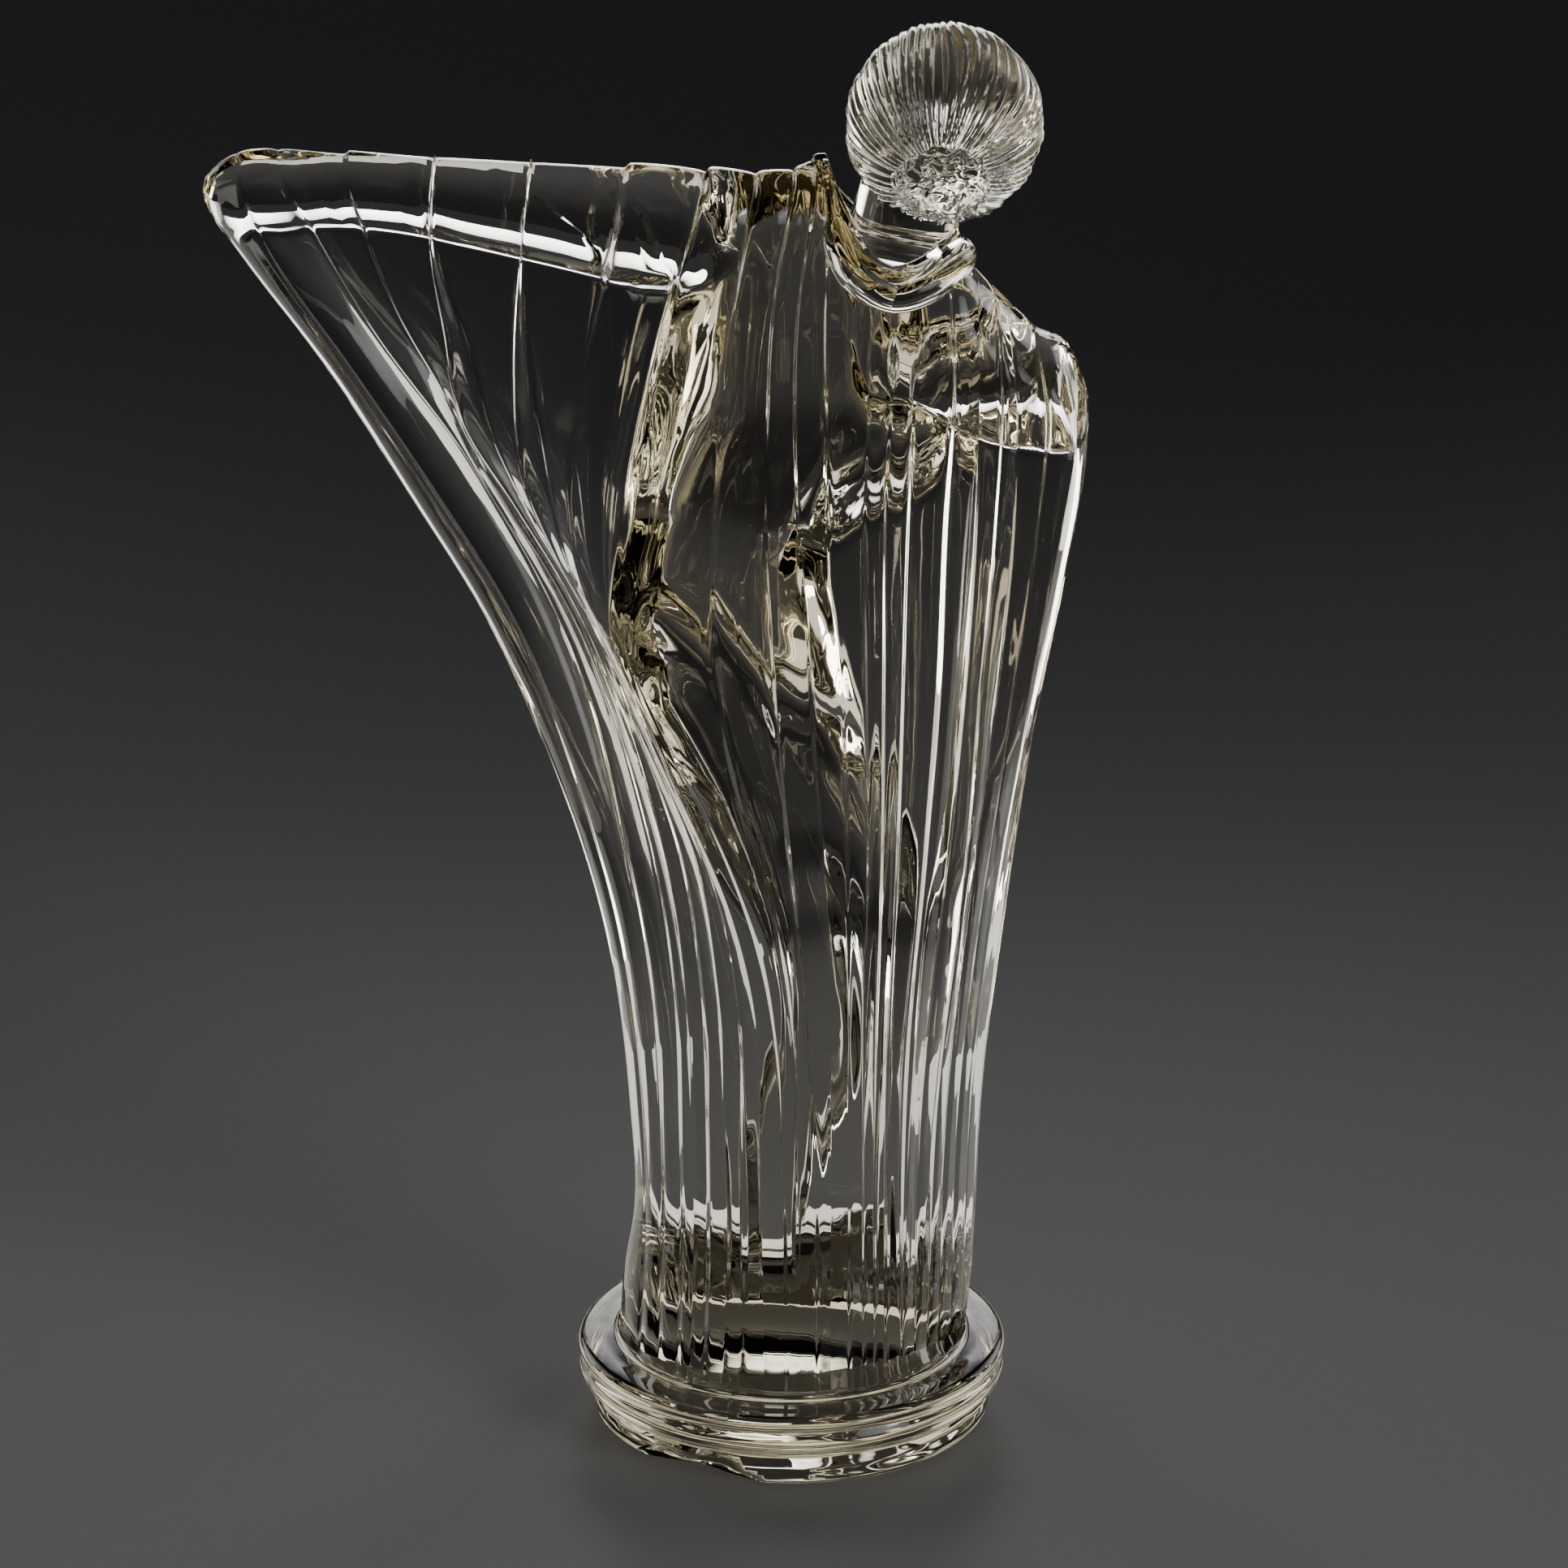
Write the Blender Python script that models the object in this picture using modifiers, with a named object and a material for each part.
"""Pressed-glass car mascot: a standing figure holding out a pleated cape, on a round base.

The glass is one moulding, built here as its named forms, each a closed solid, a hair gap apart.
Frame: +Z up, origin at the centre of the foot's underside.  The two-part mould closes on the plane Y = 0.
The cape is on +Y, the figure's relief on -Y, the outstretched left arm on +X and the bent right arm on -X.
Every size below is in millimetres; MM turns it into metres when a mesh is made.
"""

import math

import bmesh
import bpy
import numpy as np
from mathutils import Vector

MM = 0.001
GAP = 0.3  # between neighbouring solids

# ---- base: one turned profile in three steps
FOOT_RADIUS, FOOT_TOP = 31.6, 6.0
FLANGE_RADIUS, FLANGE_TOP = 34.0, 12.6
GROOVE_HEIGHT, GROOVE_DEPTH = 10.6, 0.6  # the moulded line round the flange
PLINTH_RADIUS, PLINTH_TOP = 28.2, 13.6
PLINTH_SEAT = 12.2  # the plinth stands a little way into the flange
EDGE_ROUND = 0.9
CHIP_RADII, CHIP_RISE = (11.5, 4.2, 4.4), -0.9  # the flake lost from the foot's lower edge
CHIP_TURN = math.radians(-29)  # round the foot, from +Y
TURNED_STEPS = 72

# ---- cape: (x, z) down each fold line, from the arm or shoulder to the hem
LEFT_EDGE = [(88, 198.5), (82, 188), (70, 171), (58.5, 152), (47, 132), (38.5, 112), (31.5, 91), (28, 75),
             (25.5, 52), (25, 33), (26.5, 24), (27.5, 14)]
HEM_ROLL = [(77, 204), (73, 196), (64, 180), (51, 160), (41, 145), (31.5, 124), (24, 100), (19, 75), (17, 50),
            (17, 30), (17.5, 14)]
WRIST_FOLD = [(67, 204), (64.5, 195), (58, 177), (49, 160), (40, 145), (30.5, 125), (22.5, 101), (17.5, 75),
              (15.5, 50), (15.2, 30), (15.8, 14)]
FOREARM_FOLD = [(53, 203), (54, 192), (52, 178), (46, 160), (37.5, 145), (29, 126), (21, 102), (16, 75),
                (14, 50), (13.5, 30), (14, 14)]
ELBOW_FOLD = [(39, 203), (41, 190), (42, 170), (40, 154), (34, 140), (26.5, 122), (19, 100), (14, 75),
              (12, 50), (11.3, 30), (11.5, 14)]
UPPER_ARM_FOLD = [(25, 202), (29, 186), (32, 168), (32, 146), (27.5, 128), (18, 104), (12, 75), (9, 50),
                  (8, 30), (8, 14)]
LEFT_BACK_FOLD = [(13, 201.5), (14, 180), (14, 150), (11.5, 115), (7, 80), (4.5, 50), (3.5, 30), (3.5, 14)]
NAPE_FOLD = [(-5, 198), (-5, 180), (-4, 150), (-3, 115), (-3, 80), (-3, 14)]
RIGHT_BACK_FOLD = [(-23, 187), (-23.5, 166), (-22.5, 125), (-20, 80), (-16, 40), (-14, 14)]
MIDDLE_BACK_FOLD = [(-14, 187), (-14, 166), (-13, 125), (-11, 80), (-9, 40), (-8.5, 14)]
SHOULDER_FOLD = [(-32, 182), (-33, 163), (-30, 110), (-25, 60), (-22, 14)]
ELBOW_SLEEVE_FOLD = [(-38.5, 176), (-38.5, 160), (-34.5, 112), (-28.5, 60), (-25, 14)]
RIGHT_EDGE = [(-45, 167), (-45, 159), (-42, 139), (-37, 112), (-33, 82), (-30, 55), (-29, 32), (-28.5, 22),
              (-27.5, 14)]
TOP_EDGE = [(88, 198.5), (86, 202), (81, 204), (68, 204), (49, 203.4), (31, 202.4), (13, 201.5), (2, 201),
            (-3, 198), (-7, 190), (-12, 186.5), (-20, 186), (-25, 187), (-32, 182), (-36, 178), (-43, 172),
            (-45, 167)]
HEM_Z = PLINTH_TOP + GAP
CAPE_FRONT = 3.0  # the inner face, in front of the mould's parting plane
CAPE_RIM = 2.2  # half thickness left at the outline
BACK_DEPTH = [(14, 18.5), (24, 16.5), (50, 13.5), (110, 11.5), (150, 10.5), (175, 9.5), (205, 8.0)]
WING_DEPTH = 4.6  # the cape's web under the outstretched arm
PLEAT_RISE = 1.1  # each band of cloth between two fold lines swells by this
ARM_AXIS = [(14, 191.5, 9.5), (40, 195.8, 7.4), (67, 198.6, 5.6), (82, 197.6, 5.6)]  # x, z, radius
SLEEVE_AXIS = [(-20, 178, 9.0), (-32, 171, 9.0), (-42, 167, 6.0)]
ARM_FADE = 8  # an arm's swell dies away over this length past each end of its axis
CAPE_ROWS, BAND_COLUMNS = 26, 3

# ---- figure: half-round reliefs standing on the cape's inner face, as (place, low side, high side, depth)
RELIEF_FACE = -(CAPE_FRONT + GAP)
TORSO = [(146.5, -8, 24.5, 13.5), (152, -14, 24, 14), (161, -22, 22.5, 15.5), (170, -22, 20.5, 15.5),
         (180, -21, 18.5, 13.5), (186, -19, 17, 11), (189, -15, 15, 8.5)]
HIPS = [(104.5, -15.5, 17, 15), (113, -12.5, 26, 16), (122, -10, 28.3, 17), (131, -8, 28, 16),
        (139, -6.5, 26.5, 14.5), (145.9, -7.8, 24.7, 13.6)]
LEFT_LEG = [(28, -0.5, 6.5, 7), (33, -1.5, 8, 8), (43, -4.5, 8, 9.5), (57, -9.2, 5, 10.5),
            (70, -9.4, 1.2, 10.5), (84, -7.6, 4.2, 11.5), (93, -4.8, 6, 12.5), (104.2, 1.2, 16.5, 14.5)]
RIGHT_LEG = [(28, -16.8, -11.8, 8), (43, -16, -11, 9), (57, -15.2, -10, 11), (70, -17, -9.9, 13),
             (85, -19, -8.2, 14.5), (93, -18.5, -5.3, 15), (104.2, -15.2, 0.7, 15)]
LEFT_ARM = [(22.5, 183.5, 199, 9), (40, 189, 201.5, 8), (54, 192, 202, 6.5), (66.8, 194.5, 202.6, 5.2)]
LEFT_HAND = [(67.2, 194.4, 202.7, 5.2), (74, 192.5, 203, 5.4), (80, 191.5, 202.8, 4.6),
             (85.5, 194.5, 201, 2.5)]
RIGHT_ARM = [(-43.8, 164.8, 169.5, 2.5), (-41, 162.5, 173, 7), (-35, 161, 178, 9.5), (-29, 163, 182, 10.5),
             (-24, 166.5, 184.5, 11)]
RIGHT_FOREARM = [(-40.5, 155.5, 160.5, 3), (-33, 153.5, 160.3, 6), (-22.6, 150, 159, 8)]
RELIEF_STEPS = 14

# ---- rough ground under the feet, in front of the cape
GROUND = [(PLINTH_TOP + GAP, -25, 24, 18), (19, -22.5, 21, 15), (24, -20, 17, 12), (27.6, -18.5, 11, 9)]

# ---- neck, head and hair
NECK_FOOT, NECK_TOP, NECK_RADIUS = (-15.5, -2.2, 189.6), (-19.0, -2.2, 201.0), 6.6
HEAD_CENTRE, HEAD_RADII = (-22.5, -1.5, 209.2), (15.0, 15.0, 14.8)
FACE_WAY = (-0.30, -0.87, -0.39)  # bowed and turned to the figure's right
HAIRLINE = 2.5  # from the head's centre to the hairline, along FACE_WAY
BUN_CENTRE, BUN_RADII = (-22.0, 12.2, 202.3), (7.4, 5.6, 5.4)
BUN_SEAT = 14.0  # from the head's centre to the plane where the bun meets the hair

# ---- collar: the cape's rolled edge, lying round the neck
COLLAR_RADIUS = 2.3
COLLAR_LINE = [(-5.5, 0.0, 203.6), (-7.6, 6.0, 197.5), (-11.5, 9.5, 191.2), (-16.5, 10.6, 190.2),
               (-22.0, 9.0, 191.3), (-27.2, 4.5, 191.0), (-28.0, -2.0, 190.8), (-24.0, -8.5, 192.6),
               (-16.0, -13.5, 192.6), (-9.0, -11.5, 193.2), (-5.2, -6.0, 200.0)]

GLASS = {"base_color": (0.93, 0.94, 0.90), "roughness": 0.05, "metallic": 0.0}


# ---- small tools

def clear_scene():
    for item in list(bpy.data.objects):
        bpy.data.objects.remove(item, do_unlink=True)


def collection(name):
    made = bpy.data.collections.new(name)
    bpy.context.scene.collection.children.link(made)
    return made


def glass_material(name, tint=(1.0, 1.0, 1.0)):
    """Clear pressed glass, with a faint tint so that the parts tell apart in a plain view."""
    made = bpy.data.materials.new(name)
    made.use_nodes = True
    shader = made.node_tree.nodes["Principled BSDF"]
    colour = [c * t for c, t in zip(GLASS["base_color"], tint)]
    shader.inputs["Base Color"].default_value = (*colour, 1.0)
    shader.inputs["Roughness"].default_value = GLASS["roughness"]
    shader.inputs["Metallic"].default_value = GLASS["metallic"]
    shader.inputs["Transmission Weight"].default_value = 0.9
    shader.inputs["IOR"].default_value = 1.52
    made.diffuse_color = (*colour, 1.0)
    return made


def through(points):
    """A smooth function through (place, value) points, level beyond its ends."""
    ordered = sorted(points)
    places = np.array([p[0] for p in ordered], float)
    values = np.array([p[1] for p in ordered], float)
    slopes = np.gradient(values, places)

    def at(place):
        place = min(max(place, places[0]), places[-1])
        k = min(int(np.searchsorted(places, place, side="right")) - 1, len(places) - 2)
        width = places[k + 1] - places[k]
        t = (place - places[k]) / width
        start, end = values[k], values[k + 1]
        lift = (t - 1) ** 2 * t * slopes[k] + (t - 1) * t * t * slopes[k + 1]
        return float(start + (end - start) * t * t * (3 - 2 * t) + width * lift)

    return at


def fold_line(points):
    """x as a function of height, down one fold."""
    return through([(z, x) for x, z in points])


def ramp(low, high, value):
    t = min(max((value - low) / (high - low), 0.0), 1.0)
    return t * t * (3 - 2 * t)


def add_object(name, mesh, group, material):
    made = bpy.data.objects.new(name, mesh)
    group.objects.link(made)
    mesh.materials.append(material)
    mesh.shade_smooth()
    mesh.set_sharp_from_angle(angle=math.radians(35))
    return made


def mesh_of(name, points, faces):
    mesh = bpy.data.meshes.new(name)
    mesh.from_pydata([Vector(p) * MM for p in points], [], faces)
    mesh.validate()
    shape = bmesh.new()
    shape.from_mesh(mesh)
    bmesh.ops.remove_doubles(shape, verts=shape.verts, dist=0.02 * MM)
    bmesh.ops.recalc_face_normals(shape, faces=shape.faces)
    shape.to_mesh(mesh)
    shape.free()
    return mesh


def ring_loft(rings):
    """Points and faces of a closed solid through equal rings, with its two ends capped."""
    count = len(rings[0])
    points = [p for ring in rings for p in ring]
    faces = []
    for r in range(len(rings) - 1):
        low, high = r * count, (r + 1) * count
        faces += [(low + k, low + (k + 1) % count, high + (k + 1) % count, high + k) for k in range(count)]
    last = (len(rings) - 1) * count
    faces += [tuple(range(count - 1, -1, -1)), tuple(range(last, last + count))]
    return points, faces


def ellipsoid(name, centre, radii, group, material, segments=28, rings=16):
    shape = bmesh.new()
    bmesh.ops.create_uvsphere(shape, u_segments=segments, v_segments=rings, radius=1.0)
    for vertex in shape.verts:
        vertex.co = Vector([(c + v * r) * MM for c, v, r in zip(centre, vertex.co, radii)])
    mesh = bpy.data.meshes.new(name)
    shape.to_mesh(mesh)
    shape.free()
    return add_object(name, mesh, group, material)


def cut_away(item, cutter):
    """Takes the cutter's shape out of an item; the cutter itself isn't part of the model."""
    cutter.hide_render, cutter.display_type = True, "WIRE"
    cut = item.modifiers.new(cutter.name, "BOOLEAN")
    cut.operation, cut.object = "DIFFERENCE", cutter


# ---- base

def turned(name, profile, group, material):
    """A turned solid: its profile is (radius, height) points, from the axis at the top to the axis below."""
    mesh = bpy.data.meshes.new(name)
    points = [(r * MM, 0.0, z * MM) for r, z in profile]
    mesh.from_pydata(points, [(k, k + 1) for k in range(len(points) - 1)], [])
    made = add_object(name, mesh, group, material)
    screw = made.modifiers.new("turn", "SCREW")
    screw.axis, screw.angle = "Z", math.tau
    screw.steps = screw.render_steps = TURNED_STEPS
    screw.use_merge_vertices, screw.merge_threshold = True, 0.00001
    return made


def rounded_disc(radius, low, high, edge=EDGE_ROUND):
    """The profile of a disc with both its outer edges rounded."""
    quarter = np.linspace(0, math.pi / 2, 4)
    top = [(radius - edge + edge * math.sin(a), high - edge + edge * math.cos(a)) for a in quarter]
    low_edge = [(radius - edge + edge * math.cos(a), low + edge - edge * math.sin(a)) for a in quarter]
    return [(0.0, high), *top, *low_edge, (0.0, low)]


def build_foot(group, cutters, material):
    foot = turned("foot", rounded_disc(FOOT_RADIUS, 0.0, FOOT_TOP - GAP), group, material)
    flake = ellipsoid("chip_cutter", (0, 0, 0), CHIP_RADII, cutters, material)
    flake.rotation_euler.z = CHIP_TURN
    round_foot = (-FOOT_RADIUS * math.sin(CHIP_TURN), FOOT_RADIUS * math.cos(CHIP_TURN))
    flake.location = Vector((*round_foot, CHIP_RISE)) * MM
    cut_away(foot, flake)


def build_flange(group, material):
    outer, groove, seat = FLANGE_RADIUS, GROOVE_HEIGHT, PLINTH_RADIUS + GAP
    profile = rounded_disc(outer, FOOT_TOP, FLANGE_TOP)
    recess = [(0.0, PLINTH_SEAT), (seat, PLINTH_SEAT), (seat, FLANGE_TOP)]
    below = (outer - 0.25, groove - GROOVE_DEPTH)
    line = [(outer, groove + GROOVE_DEPTH), (outer - GROOVE_DEPTH, groove), below]
    turned("flange", recess + profile[1:5] + line + profile[5:], group, material)


def build_plinth(group, material):
    """The raised ring on the flange, its top sunk a little inside the rim."""
    rim, low = PLINTH_TOP, PLINTH_SEAT + GAP
    edge = [(PLINTH_RADIUS - 0.5, rim), (PLINTH_RADIUS - 0.1, rim - 0.25), (PLINTH_RADIUS, low)]
    turned("plinth", [(0.0, rim), *edge, (0.0, low)], group, material)


# ---- cape

def along_axis(axis, x):
    """Height and radius of an arm's axis at x."""
    return through([(p[0], p[1]) for p in axis])(x), through([(p[0], p[2]) for p in axis])(x)


def tube_rise(axis, x, z):
    """How far an arm under the cloth lifts it at (x, z)."""
    ends = sorted(p[0] for p in axis)
    fade = ramp(ends[0] - ARM_FADE, ends[0], x) * (1 - ramp(ends[-1], ends[-1] + ARM_FADE, x))
    middle, radius = along_axis(axis, x)
    return fade * math.sqrt(max(radius**2 - (z - middle) ** 2, 0.0))


LEFT, RIGHT, TOP = fold_line(LEFT_EDGE), fold_line(RIGHT_EDGE), through(TOP_EDGE)
DEPTH_AT = through(BACK_DEPTH)


def cape_back(x, z, band):
    """Depth of the cape's outer surface behind the parting plane; band runs 0 to 1 between two folds."""
    inset = max(min(LEFT(z) - x, x - RIGHT(z), TOP(x) - z), 0.0)
    reach = 9 + 17 * (1 - ramp(60, 130, z))
    round_off = math.sqrt(1 - (1 - min(inset / reach, 1.0)) ** 2)
    in_wing = ramp(14, 34, x) * ramp(90, 140, z)
    depth = DEPTH_AT(z) * (1 - in_wing) + WING_DEPTH * in_wing
    depth = max(depth * round_off, tube_rise(ARM_AXIS, x, z), tube_rise(SLEEVE_AXIS, x, z))
    swell = PLEAT_RISE * (1 - abs(2 * band - 1) ** 3) * ramp(0, 4, inset)
    return CAPE_RIM + depth * (1 - CAPE_RIM / 12) + swell


def cape_panel(name, folds, group, material):
    """One closed panel of the cape, through its fold lines from left to right."""
    lines = [fold_line(f) for f in folds]
    tops = [f[0][0] for f in folds]
    columns = []
    for k in range(len(folds) - 1):
        last = k == len(folds) - 2
        columns += [(k, c / BAND_COLUMNS) for c in range(BAND_COLUMNS + last)]
    outer, inner = [], []
    for index, (k, part) in enumerate(columns):
        side = (index == len(columns) - 1) - (index == 0)
        top_x = tops[k] + (tops[k + 1] - tops[k]) * part + side * GAP / 2
        for row in range(CAPE_ROWS + 1):
            z = TOP(top_x) + (HEM_Z - TOP(top_x)) * (row / CAPE_ROWS)
            x = lines[k](z) * (1 - part) + lines[k + 1](z) * part + side * GAP / 2
            outer.append((x, cape_back(x, z, part), z))
            inner.append((x, -CAPE_FRONT, z))
    rows, count = CAPE_ROWS + 1, len(columns)
    back = len(outer)
    faces = []
    for c in range(count - 1):
        for r in range(CAPE_ROWS):
            a, b = c * rows + r, (c + 1) * rows + r
            faces += [(a, b, b + 1, a + 1), (back + a, back + a + 1, back + b + 1, back + b)]
    rim = [c * rows for c in range(count)] + [(count - 1) * rows + r for r in range(1, rows)]
    rim += [c * rows + rows - 1 for c in range(count - 2, -1, -1)] + list(range(rows - 2, 0, -1))
    faces += [(a, b, back + b, back + a) for a, b in zip(rim, rim[1:] + rim[:1])]
    return add_object(name, mesh_of(name, outer + inner, faces), group, material)


def build_cape(group, material):
    cape_panel("cape_hem_roll", [LEFT_EDGE, HEM_ROLL], group, material)
    wing = [HEM_ROLL, WRIST_FOLD, FOREARM_FOLD, ELBOW_FOLD, UPPER_ARM_FOLD, LEFT_BACK_FOLD]
    cape_panel("cape_wing", wing, group, material)
    cape_panel("cape_back", [LEFT_BACK_FOLD, NAPE_FOLD, MIDDLE_BACK_FOLD, RIGHT_BACK_FOLD], group, material)
    sleeve = [RIGHT_BACK_FOLD, SHOULDER_FOLD, ELBOW_SLEEVE_FOLD, RIGHT_EDGE]
    cape_panel("cape_sleeve_fall", sleeve, group, material)


def build_collar(group, material):
    """A closed rolled edge, a tube swept round the neck."""
    curve = bpy.data.curves.new("collar", "CURVE")
    curve.dimensions, curve.bevel_depth, curve.bevel_resolution = "3D", COLLAR_RADIUS * MM, 2
    line = curve.splines.new("NURBS")
    line.points.add(len(COLLAR_LINE) - 1)
    for point, place in zip(line.points, COLLAR_LINE):
        point.co = (*(c * MM for c in place), 1.0)
    line.use_cyclic_u, line.order_u, line.resolution_u = True, 4, 4
    made = bpy.data.objects.new("collar", curve)
    curve.materials.append(material)
    group.objects.link(made)
    return made


# ---- figure

def relief(name, sections, upright, group, material, face=RELIEF_FACE):
    """A half-round body on the cape's inner face: sections go up the figure, or across it for an arm."""
    places = [s[0] for s in sections]
    low, high, deep = (through([(s[0], s[k]) for s in sections]) for k in (1, 2, 3))
    rings = []
    for place in np.linspace(places[0], places[-1], 2 * len(places) - 1):
        middle, half = (low(place) + high(place)) / 2, (high(place) - low(place)) / 2
        ring = []
        for angle in np.linspace(0, math.pi, RELIEF_STEPS + 1):
            across, out = middle + half * math.cos(angle), face - deep(place) * math.sin(angle)
            ring.append((across, out, place) if upright else (place, out, across))
        rings.append(ring)
    points, faces = ring_loft(rings)
    return add_object(name, mesh_of(name, points, faces), group, material)


def build_figure(group, material):
    relief("torso", TORSO, True, group, material)
    relief("hips", HIPS, True, group, material)
    relief("left_leg", LEFT_LEG, True, group, material)
    relief("right_leg", RIGHT_LEG, True, group, material)
    relief("left_arm", LEFT_ARM, False, group, material)
    relief("left_hand", LEFT_HAND, False, group, material)
    relief("right_arm", RIGHT_ARM, False, group, material)
    relief("right_forearm", RIGHT_FOREARM, False, group, material)
    relief("ground", GROUND, True, group, material)


def keep_side(item, point, way):
    """Cuts a solid by a plane, keeps the side that way points to, and closes the cut."""
    shape = bmesh.new()
    shape.from_mesh(item.data)
    everything = shape.verts[:] + shape.edges[:] + shape.faces[:]
    cut = bmesh.ops.bisect_plane(shape, geom=everything, plane_co=point, plane_no=way, clear_inner=True)
    edges = [e for e in cut["geom_cut"] if isinstance(e, bmesh.types.BMEdge)]
    bmesh.ops.contextual_create(shape, geom=edges)
    bmesh.ops.recalc_face_normals(shape, faces=shape.faces)
    shape.to_mesh(item.data)
    shape.free()


def build_head(group, material):
    centre, way = Vector(HEAD_CENTRE), Vector(FACE_WAY).normalized()
    bun_way = (Vector(BUN_CENTRE) - centre).normalized()
    head = ellipsoid("head", HEAD_CENTRE, HEAD_RADII, group, material)
    keep_side(head, (centre + way * (HAIRLINE + GAP / 2)) * MM, way)
    hair = ellipsoid("hair", HEAD_CENTRE, HEAD_RADII, group, material)
    keep_side(hair, (centre + way * (HAIRLINE - GAP / 2)) * MM, -way)
    keep_side(hair, (centre + bun_way * (BUN_SEAT - GAP)) * MM, -bun_way)
    bun = ellipsoid("hair_bun", BUN_CENTRE, BUN_RADII, group, material, 20, 12)
    keep_side(bun, (centre + bun_way * BUN_SEAT) * MM, bun_way)


def build_neck(group, cutters, material):
    """The neck, hollowed at its top to take the head's round."""
    low, high = Vector(NECK_FOOT), Vector(NECK_TOP)
    rings = []
    for step in np.linspace(0, 1, 4):
        centre, radius = low.lerp(high, step), NECK_RADIUS * (1 - 0.12 * math.sin(math.pi * step))
        rings.append([(centre.x + radius * math.cos(a), centre.y + radius * math.sin(a), centre.z)
                      for a in np.linspace(0, math.tau, 20, endpoint=False)])
    points, faces = ring_loft(rings)
    neck = add_object("neck", mesh_of("neck", points, faces), group, material)
    around_head = [radius + GAP for radius in HEAD_RADII]
    cut_away(neck, ellipsoid("head_cutter", HEAD_CENTRE, around_head, cutters, material))


def main():
    clear_scene()
    group, cutters = collection("glass_car_mascot"), collection("cutters")
    clear = glass_material("clear_glass")
    base = glass_material("base_glass", (1.0, 0.99, 0.93))
    figure = glass_material("figure_glass", (0.97, 1.0, 0.98))
    build_foot(group, cutters, base)
    build_flange(group, base)
    build_plinth(group, base)
    build_cape(group, clear)
    build_collar(group, clear)
    build_figure(group, figure)
    build_neck(group, cutters, figure)
    build_head(group, figure)


main()
